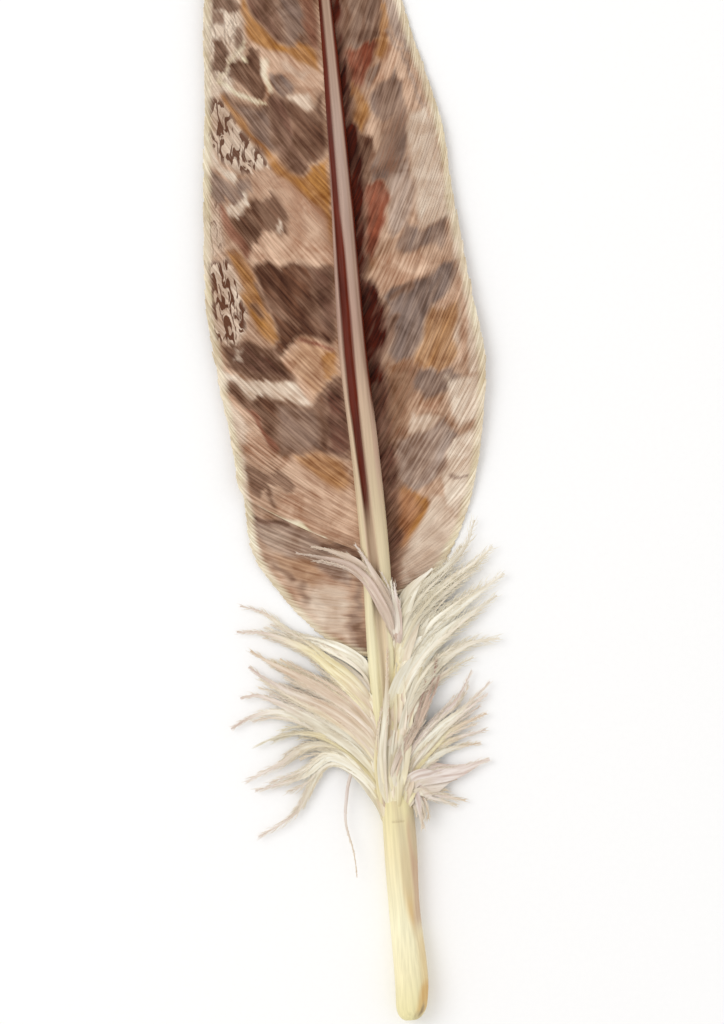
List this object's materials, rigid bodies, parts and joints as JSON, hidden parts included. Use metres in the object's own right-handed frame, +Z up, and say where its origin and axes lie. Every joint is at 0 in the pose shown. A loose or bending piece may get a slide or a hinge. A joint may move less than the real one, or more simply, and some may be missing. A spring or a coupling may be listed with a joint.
{
  "type": "wing feather",
  "caption": "Flight feather lying flat: a grooved shaft with a bare quill, a barred web along each side and loose tufts of down at its foot.",
  "frame": {"origin": "bottom centre of the whole feather's bounding box, on the surface it lies on", "axes": "+Y along the shaft from the quill's foot to the feather's tip, +X to the right of the shaft seen from above, +Z up, out of the grooved side of the shaft"},
  "size_m": [0.0604, 0.2502, 0.0075],
  "materials": {
    "quill_shaft": "horn, pale and slightly glossy",
    "left_web": "matt, silky along the barbs, barred brown, rust and cream",
    "left_lower_web": "matt, silky along the barbs, grey-brown and rust",
    "right_web": "matt, silky along the barbs, barred grey-brown, rust and cream",
    "down_left_upper": "soft, matt",
    "down_left_lower": "soft, matt",
    "down_right_upper": "soft, matt",
    "down_right_lower": "soft, matt",
    "down_over_shaft": "soft, matt",
    "loose_down_barb": "soft, matt"
  },
  "bodies": {
    "root": {"quill_shaft": "quill_shaft", "left_web": "left_web", "left_lower_web": "left_lower_web", "right_web": "right_web", "down_left_upper": "down_left_upper", "down_left_lower": "down_left_lower", "down_right_upper": "down_right_upper", "down_right_lower": "down_right_lower", "down_over_shaft": "down_over_shaft", "loose_down_barb": "loose_down_barb"}
  },
  "joints": []
}
